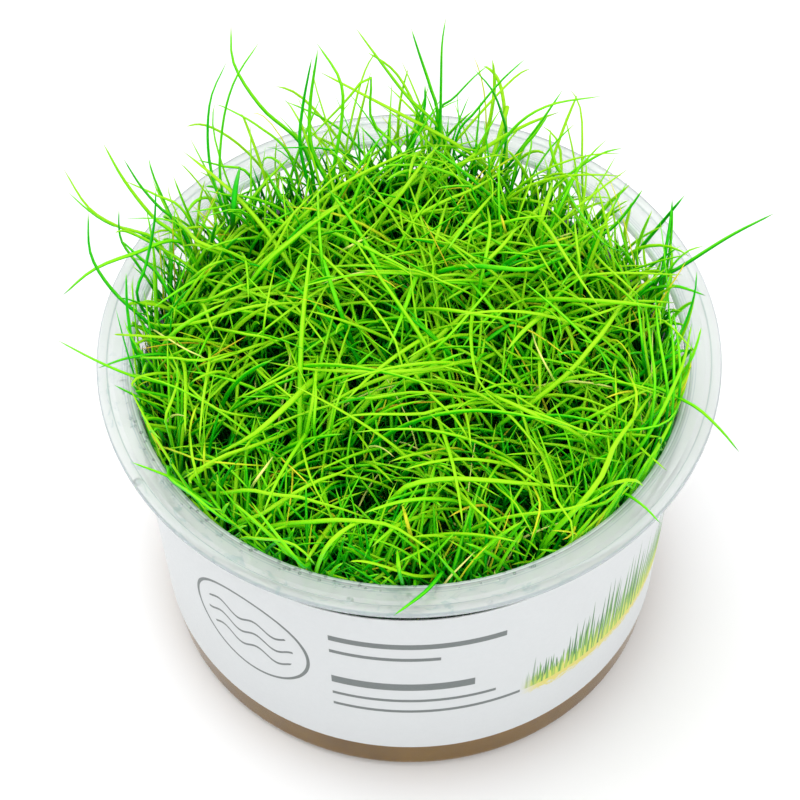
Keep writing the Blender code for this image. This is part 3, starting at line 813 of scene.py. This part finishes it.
# Sighted arcs: the blades that cross over the top of the crop and catch the eye, and rest on it
# wherever they pass. Each has a width in millimetres, of which a share is used, a tone, an age
# and its pixels in the picture, from foot to tip.
SIGHTED_ARCS = (
    (1.00, 0.88, 0, (262, 205), (285, 224), (310, 243), (340, 273), (370, 303), (395, 340),
     (403, 371), (407, 411)),
    (0.95, 0.85, 0, (512, 348), (485, 358), (460, 362), (430, 368), (400, 371), (340, 371),
     (300, 368), (262, 361)),
    (0.80, 0.82, 0, (317, 384), (330, 393), (345, 398), (365, 399), (385, 396), (410, 392),
     (440, 394), (500, 402)),
    (0.90, 0.85, 0, (395, 343), (410, 366), (425, 388), (440, 404), (455, 418), (468, 438), (474, 456)),
    (0.85, 0.80, 0, (515, 402), (490, 402), (465, 404), (440, 409), (420, 414), (370, 414),
     (345, 417), (330, 426)),
    (0.90, 0.88, 0, (396, 313), (425, 309), (450, 310), (475, 314), (495, 317), (515, 321), (530, 325)),
    (0.95, 0.75, 0, (476, 268), (474, 300), (471, 330), (472, 352), (476, 374), (484, 390),
     (497, 401), (510, 412)),
    (0.60, 0.75, 0, (415, 378), (430, 355), (447, 338), (465, 318), (482, 298), (497, 280), (510, 262)),
    (1.15, 0.55, 0, (356, 352), (348, 332), (340, 310), (333, 290), (326, 268), (320, 245)),
    (0.60, 0.65, 0, (350, 322), (365, 335), (385, 350), (402, 363)),
    (0.60, 0.80, 0, (327, 452), (332, 425), (337, 403), (343, 388), (350, 372)),
    (0.70, 0.70, 0, (317, 452), (314, 425), (316, 395), (313, 366)),
    (0.75, 0.85, 0, (135, 322), (165, 326), (200, 322), (225, 314), (250, 307), (275, 304),
     (300, 303), (320, 305)),
    (0.75, 0.85, 0, (203, 329), (225, 330), (250, 335), (268, 338), (285, 348)),
    (0.55, 0.90, 1, (150, 330), (165, 337), (185, 349), (200, 356), (215, 364)),
    (0.95, 0.95, 0, (160, 350), (180, 377), (195, 393), (210, 405), (225, 412), (245, 416), (270, 419)),
    (0.60, 0.80, 0, (128, 359), (150, 358), (175, 358), (200, 361), (222, 355), (245, 350)),
    (1.30, 0.78, 0, (330, 362), (322, 375), (310, 383), (295, 398), (280, 412), (262, 428),
     (245, 440), (213, 456)),
    (0.85, 0.85, 0, (302, 455), (308, 425), (313, 400), (316, 375), (318, 352)),
    (0.70, 0.85, 0, (335, 356), (310, 362), (290, 373), (270, 383), (250, 393), (230, 401)),
    (0.55, 0.95, 0.08, (190, 452), (190, 430), (194, 412), (200, 402)),
    (0.70, 0.85, 0, (173, 450), (168, 430), (165, 418), (170, 405), (176, 388), (181, 370)),
    (0.80, 0.85, 0, (250, 365), (265, 377), (280, 388), (295, 401), (310, 419)),
    (0.55, 0.80, 0, (262, 358), (263, 335), (266, 310), (270, 288), (276, 262)),
    (1.00, 0.85, 0, (497, 428), (530, 404), (557, 383), (575, 366), (590, 348), (605, 330),
     (618, 310), (643, 277)),
    (1.10, 0.70, 0, (515, 302), (540, 300), (560, 299), (600, 301), (625, 303), (650, 306), (668, 308)),
    (0.60, 0.90, 1, (557, 390), (552, 377), (544, 362), (536, 345), (531, 327)),
    (1.00, 0.85, 0, (600, 452), (585, 440), (565, 427), (540, 417), (515, 405), (495, 396), (480, 385)),
    (0.80, 0.80, 0, (497, 407), (512, 408), (530, 411), (560, 422), (590, 433), (618, 438)),
    (0.55, 0.90, 0.10, (594, 352), (606, 343), (616, 340), (625, 348), (632, 360), (640, 380)),
    (0.65, 0.80, 0, (540, 336), (560, 327), (585, 318), (610, 310), (640, 297)),
    (0.60, 0.75, 0, (572, 392), (600, 382), (625, 383), (650, 389), (668, 395)),
    (0.50, 0.80, 0, (618, 440), (617, 415), (616, 390), (615, 363)),
    (0.65, 0.90, 0.06, (628, 452), (632, 425), (637, 400), (634, 385), (626, 370)),
    (1.10, 0.85, 0, (545, 545), (560, 525), (575, 510), (592, 490), (605, 470), (612, 450),
     (625, 430), (655, 390)),
    (0.80, 0.65, 0, (625, 470), (645, 440), (660, 415), (672, 390), (684, 360), (692, 322)),
    (0.70, 0.45, 0, (647, 380), (643, 350), (640, 320), (636, 290)),
    (0.80, 0.50, 0, (665, 430), (668, 400), (665, 370), (658, 330), (655, 292)),
    (0.70, 0.42, 0, (667, 450), (672, 415), (674, 380), (673, 345), (668, 300)),
    (0.75, 0.50, 0, (645, 452), (652, 415), (655, 380), (650, 340), (645, 300)),
    (0.65, 0.45, 0, (676, 420), (680, 385), (679, 350), (673, 310)),
    (1.00, 0.72, 0, (237, 310), (250, 283), (270, 258), (295, 237), (320, 216), (345, 202), (368, 193)),
    (0.70, 0.85, 0, (373, 242), (400, 224), (425, 211), (448, 199), (475, 188), (510, 166)),
    (0.75, 0.88, 0, (350, 257), (375, 262), (400, 268), (425, 273), (445, 283), (465, 291), (487, 305)),
    (1.10, 0.50, 0, (400, 284), (430, 275), (450, 269), (475, 266), (500, 268), (530, 269),
     (555, 260), (577, 251)),
    (0.85, 0.85, 0, (438, 310), (455, 290), (475, 273), (490, 258), (505, 243), (515, 230), (528, 222)),
    (0.80, 0.82, 0, (428, 272), (440, 255), (455, 235), (470, 220), (485, 203), (500, 186)),
    (0.50, 0.90, 1, (338, 256), (352, 245), (371, 236)),
    (0.90, 0.80, 0, (370, 245), (385, 215), (400, 195), (412, 178), (425, 160), (442, 142)),
    (1.00, 0.60, 0, (332, 305), (324, 275), (320, 240), (318, 205), (318, 185)),
    (0.60, 0.85, 0, (398, 308), (385, 285), (375, 262)),
    (0.90, 0.70, 0, (474, 312), (480, 285), (486, 255), (490, 230), (487, 203)),
    (0.70, 0.90, 0.35, (507, 240), (504, 226), (500, 212)),
    (0.80, 0.78, 0, (426, 272), (433, 250), (440, 225), (448, 198)),
    (0.60, 0.80, 0, (180, 293), (200, 272), (215, 263), (237, 259)),
    (0.65, 0.82, 0, (192, 310), (215, 297), (240, 286), (256, 283)),
    (0.80, 0.80, 0, (165, 215), (185, 228), (200, 243), (230, 252), (260, 266)),
    (1.50, 0.15, 0, (231, 238), (233, 215), (235, 190), (240, 165)),
    (0.50, 0.45, 0, (246, 204), (215, 208), (188, 212)),
    (0.60, 0.90, 0.10, (538, 248), (555, 241), (576, 235)),
    (0.60, 0.85, 0, (525, 299), (550, 286), (575, 278), (600, 274), (630, 273), (660, 274), (684, 275)),
    (0.75, 0.30, 0, (560, 182), (575, 205), (590, 226), (607, 246), (627, 252)),
    (0.80, 0.75, 0, (581, 310), (581, 275), (577, 245), (574, 215)),
    (0.75, 0.85, 0, (583, 243), (605, 265), (625, 283), (643, 300)),
    (0.70, 0.80, 0, (520, 222), (535, 245), (550, 270), (568, 296)),
    (1.00, 0.75, 0, (534, 250), (540, 225), (548, 198), (553, 180)),
    (0.55, 0.90, 0.10, (160, 448), (180, 453), (200, 460), (225, 463), (250, 465), (270, 466)),
    (0.80, 0.88, 0, (300, 428), (275, 438), (250, 447), (225, 455), (200, 468), (180, 480)),
    (1.10, 0.50, 0, (160, 470), (175, 483), (190, 493), (205, 505), (222, 518), (238, 527)),
    (0.60, 0.90, 0.30, (274, 453), (285, 462), (296, 472), (308, 484), (318, 498)),
    (0.55, 0.90, 1, (250, 493), (256, 480), (265, 468), (274, 455)),
    (0.85, 0.88, 0, (200, 496), (225, 493), (250, 490), (275, 495), (295, 496), (320, 503),
     (345, 510), (372, 520)),
    (0.80, 0.88, 0, (236, 524), (260, 515), (280, 502), (300, 490), (320, 480), (340, 473), (358, 463)),
    (0.95, 0.85, 0, (260, 531), (285, 524), (310, 522), (335, 520), (360, 521), (380, 523),
     (400, 530), (440, 557)),
    (1.00, 0.85, 0, (315, 578), (320, 560), (328, 545), (340, 533), (355, 524), (372, 519)),
    (0.75, 0.82, 0, (238, 540), (265, 539), (290, 543), (305, 553), (316, 566)),
    (0.85, 0.60, 0, (312, 574), (300, 563), (285, 545), (265, 520), (250, 500)),
    (0.75, 0.85, 0, (297, 430), (303, 450), (308, 470), (315, 488), (325, 505), (337, 524)),
    (0.60, 0.90, 0.08, (207, 484), (204, 460), (205, 440)),
    (0.70, 0.82, 0, (203, 492), (197, 475), (192, 455), (190, 430)),
    (1.05, 0.85, 0, (378, 522), (388, 504), (400, 492), (412, 484), (445, 479), (485, 480),
     (530, 484), (582, 487)),
    (0.90, 0.88, 0, (450, 480), (462, 495), (475, 508), (490, 522), (507, 538)),
    (0.90, 0.90, 0.25, (412, 543), (407, 522), (402, 504)),
    (1.00, 0.65, 0, (403, 588), (399, 570), (397, 548)),
    (0.60, 0.85, 0, (487, 480), (500, 490), (515, 503), (525, 520), (534, 537)),
    (0.65, 0.90, 0.12, (525, 475), (535, 490), (540, 505), (537, 522), (530, 542)),
    (0.95, 0.85, 0, (485, 455), (505, 460), (520, 470), (537, 481), (555, 492)),
    (0.95, 0.80, 0, (530, 425), (540, 450), (550, 475), (556, 500), (568, 515), (573, 530), (571, 547)),
    (0.85, 0.85, 0, (590, 500), (600, 490), (612, 484), (627, 480), (637, 481), (644, 487)),
    (0.70, 0.75, 0, (560, 430), (585, 420), (610, 407), (640, 393), (655, 388)),
)
ARC_RISE = (1.5 * MM, 12.0 * MM, 8.0 * MM)  # above the crop's closed level at foot, middle and tip
ARC_LIFT = (-0.5 * MM, 2.5 * MM)            # least and most that chance lifts a tip further
ARC_FOOT_RUN = 0.25           # the foot lies on past the first point by this share of the first step
ARC_FOOT_DEPTH = 6.0 * MM
ARC_OVERHANG = 5.0            # these blades go out over the flange freely
ARC_WIDTH_SHARE = 0.82
ARC_ROWS = 18


def sighted_path(pixels, lift):
    """A blade over the crop, through the given pixels, with its foot sunk before its first point.

    A point's height sets its place, and its place the crop's height, so the two are found in rounds.
    """
    foot, middle, tip = ARC_RISE
    points = []
    for share, pixel in zip(np.linspace(0.0, 1.0, len(pixels)), pixels):
        rise = foot * (1.0 - share) ** 2 + 4.0 * middle * share * (1.0 - share) + tip * share ** 2
        height = CUP_HEIGHT
        for _ in range(4):
            point = sighted(*pixel, height)
            height = float(mat_level(point.x, point.y)) + rise + lift * share
        points.append((point.x, point.y, height))
    first, second = np.array(points[:2])
    root = first + (first - second) * ARC_FOOT_RUN - np.array((0.0, 0.0, ARC_FOOT_DEPTH))
    return smooth_path(np.vstack([root, points]), ARC_ROWS)


lifts = pick(len(SIGHTED_ARCS), *ARC_LIFT)
paths = np.array([sighted_path(entry[3:], lift) for entry, lift in zip(SIGHTED_ARCS, lifts)])
width, tone, age = np.array([entry[:3] for entry in SIGHTED_ARCS], dtype=float).T
width = width * ARC_WIDTH_SHARE * MM
add_blades("hairgrass_sighted_arcs", keep_in_cup(paths, ARC_OVERHANG), width, tone, age, sides=6,
           flat=(0.55, 0.85), tip=0.2)

# Label: a strip of white coated paper, printed in grey and green, wrapped round the wall and
# glued to it. Its ends nearly meet at the back.
LABEL_BOTTOM = 8.0 * MM
LABEL_TOP = 50.8 * MM
LABEL_THICKNESS = 0.2 * MM
LABEL_CLEARANCE = 0.25 * MM
LABEL_END_GAP = math.radians(2.0)
LABEL_STEPS = 180
LABEL_WHITE = (0.590, 0.615, 0.625, 1.0)
LABEL_PALE = (0.625, 0.645, 0.655, 1.0)
INK = (0.075, 0.095, 0.092, 1.0)
INK_SHARE = 0.88
PRINT_LENGTH = 268.0          # the print is laid out in millimetres, across from the middle of
PRINT_EDGE = 0.05             # the front and up from the lower edge, with edges this soft
RING_ACROSS, RING_UP, RING_RADIUS, RING_HALF = -28.0, 24.0, 11.2, 0.30
WAVES_WITHIN = (8.7, 8.6)
WAVE_LEVELS = (-4.0, 0.0, 4.0)
WAVE_TURN, WAVE_HEIGHT, WAVE_HALF = 0.9, 0.9, 0.32
RULES = ((1.0, 34.2, 14.0, 0.80), (-4.2, 30.0, 8.8, 0.50), (-1.4, 20.8, 11.6, 1.10),
         (0.4, 16.2, 13.4, 0.42), (2.6, 12.6, 15.6, 0.42))   # across, up, half length, half width
GRASS_FROM, GRASS_TO, GRASS_GROUND = 18.5, 66.0, 13.5
GROUND_TINT = (0.66, 0.57, 0.09, 1.0)
GRASS_ROWS = (   # each row of printed grass has a pitch, a seed, a height and a colour
    (1.15, 3.1, 21.0, (0.050, 0.170, 0.050, 1.0)), (0.95, 7.7, 18.5, (0.080, 0.250, 0.045, 1.0)),
    (1.30, 11.3, 15.5, (0.130, 0.340, 0.050, 1.0)), (1.05, 5.9, 12.0, (0.250, 0.450, 0.060, 1.0)),
    (0.85, 2.3, 8.5, (0.420, 0.560, 0.070, 1.0)), (1.20, 9.1, 5.5, (0.600, 0.640, 0.090, 1.0)))


def label_strip():
    """The strip round the wall, with a map of its places around and up for the print."""
    inner, outer = LABEL_CLEARANCE, LABEL_CLEARANCE + LABEL_THICKNESS
    corners = ((inner, LABEL_BOTTOM), (outer, LABEL_BOTTOM), (outer, LABEL_TOP), (inner, LABEL_TOP))
    outline = [(wall_outer(height) + off, height) for off, height in corners]
    bm = turned(outline, LABEL_STEPS, closed=True, turn=2.0 * math.pi - LABEL_END_GAP,
                start=math.radians(90.0) + LABEL_END_GAP / 2.0)
    around = bm.loops.layers.uv.new("around")
    for face in bm.faces:
        middle = face.calc_center_median()
        bearing = math.atan2(middle.x, -middle.y)
        for loop in face.loops:
            place = loop.vert.co
            angle = math.atan2(place.x, -place.y)
            if abs(angle - bearing) > math.pi:
                angle += math.copysign(2.0 * math.pi, bearing)
            loop[around].uv = (0.5 + angle / (2.0 * math.pi),
                               (place.z - LABEL_BOTTOM) / (LABEL_TOP - LABEL_BOTTOM))
    return bm


def printed(value, centre, half):
    """1 within the given half width of a centre, with crisp printed edges."""
    off = calc("ABSOLUTE", minus(value, centre))
    return ease(minus(off, half), PRINT_EDGE, -PRINT_EDGE)


def sign_and_rules(across, up):
    """Where there is ink: three waves in a ring, and five rules."""
    beside, higher = minus(across, RING_ACROSS), minus(up, RING_UP)
    reach = flat_length(beside, higher)
    ink = printed(reach, RING_RADIUS, RING_HALF)
    ripple = times(calc("SINE", times(beside, WAVE_TURN)), WAVE_HEIGHT)
    inside = ease(reach, *WAVES_WITHIN)
    for level in WAVE_LEVELS:
        wave = printed(minus(higher, ripple), level, WAVE_HALF)
        ink = either(ink, times(wave, inside))
    for centre, level, half, thick in RULES:
        rule = times(printed(across, centre, half), printed(up, level, thick))
        ink = either(ink, rule)
    return ink


def printed_grass(colour, across, up):
    """A band of grass-like strokes over pale ground, in rows from the tall dark ones to the front."""
    span = times(ease(across, GRASS_FROM - 0.5, GRASS_FROM + 4.0),
                 ease(across, GRASS_TO + 0.5, GRASS_TO - 4.0))
    tree = across.id_data
    crumbs = noise(put(tree, "ShaderNodeCombineXYZ", {0: across, 1: up}).outputs[0], 1.1, 3.0, 0.6)
    reach = plus(up, times(minus(crumbs, 0.5), 5.0))
    bed = times(ease(reach, GRASS_GROUND - 3.4, GRASS_GROUND - 2.0),
                ease(reach, GRASS_GROUND + 3.0, GRASS_GROUND + 0.5))
    colour = tint(times(times(span, bed), 0.9), colour, GROUND_TINT)
    taller = times(ease(across, GRASS_FROM, GRASS_FROM + 22.0, 0.45, 1.0),
                   ease(across, GRASS_TO, GRASS_TO - 16.0, 0.40, 1.0))
    for pitch, seed, tallest, shade in GRASS_ROWS:
        cell = calc("DIVIDE", plus(across, seed), pitch)
        chance = put(tree, "ShaderNodeTexWhiteNoise", {"W": plus(calc("FLOOR", cell), seed)},
                     noise_dimensions="1D")
        draws = put(tree, "ShaderNodeSeparateColor", {0: chance.outputs["Color"]}).outputs
        height = times(times(plus(times(draws[0], 0.5), 0.5), tallest), taller)
        rise = calc("DIVIDE", minus(up, GRASS_GROUND - 1.0), height)
        squared = times(rise, rise)
        bent = times(squared, times(minus(draws[1], 0.5), 0.7))
        offset = minus(minus(calc("FRACT", cell), 0.5), bent)
        half = times(minus(1.0, squared), 0.22)
        stroke = ease(minus(calc("ABSOLUTE", offset), half), PRINT_EDGE, -PRINT_EDGE)
        within = times(ease(rise, 0.0, 0.02), ease(rise, 1.0, 0.98))
        colour = tint(times(times(stroke, within), span), colour, shade)
    return colour


def label_paper():
    material, tree, shader = new_material(
        "label_paper", Roughness=0.45, Metallic=0.0, Specular_IOR_Level=0.4, Subsurface_Weight=0.5,
        Subsurface_Radius=(0.6 * MM, 0.6 * MM, 0.6 * MM), Subsurface_Scale=1.0)
    where = put(tree, "ShaderNodeUVMap", uv_map="around").outputs[0]
    flat = put(tree, "ShaderNodeSeparateXYZ", {0: where}).outputs
    across = times(minus(flat[0], 0.5), PRINT_LENGTH)
    up = times(flat[1], (LABEL_TOP - LABEL_BOTTOM) / MM)
    place = object_place(tree)
    paper = tint(noise(place, 900.0, 3.0, 0.6), LABEL_WHITE, LABEL_PALE)
    colour = tint(times(sign_and_rules(across, up), INK_SHARE), paper, INK)
    tree.links.new(printed_grass(colour, across, up), shader.inputs["Base Color"])
    fibres = noise(place, 2600.0, 2.0, 0.6)
    tree.links.new(ease(fibres, 0.3, 0.7, 0.40, 0.52), shader.inputs["Roughness"])
    tree.links.new(bump(fibres, 0.02 * MM, 0.3), shader.inputs["Normal"])
    return material


label = add_piece("label_strip", mesh_from("label_strip", label_strip()), label_paper())
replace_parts(label, "label")

# Table and light: a plain pale surface that the cup stands on, under two large soft lights in
# a white room.
TABLE_SIZE = 3.0
TABLE_LEVEL = -0.05 * MM
TABLE_TINT = (0.92, 0.92, 0.92, 1.0)
ROOM_STRENGTH = 1.05
table_mesh = bpy.data.meshes.new("table_top")
bm = bmesh.new()
bmesh.ops.create_grid(bm, x_segments=1, y_segments=1, size=TABLE_SIZE / 2.0,
                      matrix=Matrix.Translation((0.0, 0.0, TABLE_LEVEL)))
bm.to_mesh(table_mesh)
bm.free()
table_mesh.materials.append(
    new_material("table_white", Base_Color=TABLE_TINT, Roughness=0.8, Specular_IOR_Level=0.1)[0])
table = bpy.data.objects.new("table_top", table_mesh)
bpy.context.collection.objects.link(table)


def soft_light(name, place, size, watts):
    """A round soft light that faces the cup."""
    data = bpy.data.lights.new(name, "AREA")
    data.shape = "DISK"
    data.size = size
    data.energy = watts
    lamp = bpy.data.objects.new(name, data)
    lamp.location = place
    lamp.rotation_euler = (-Vector(place)).to_track_quat("-Z", "Y").to_euler()
    bpy.context.collection.objects.link(lamp)


soft_light("soft_key", (-0.25, 0.15, 1.0), 1.0, 4.6)
soft_light("soft_fill", (0.5, -0.9, 0.7), 0.8, 2.0)
world = bpy.data.worlds.new("white_room")
bpy.context.scene.world = world
world.use_nodes = True
background = world.node_tree.nodes["Background"]
background.inputs["Color"].default_value = (1.0, 1.0, 1.0, 1.0)
background.inputs["Strength"].default_value = ROOM_STRENGTH
bpy.context.scene.view_settings.view_transform = "Standard"
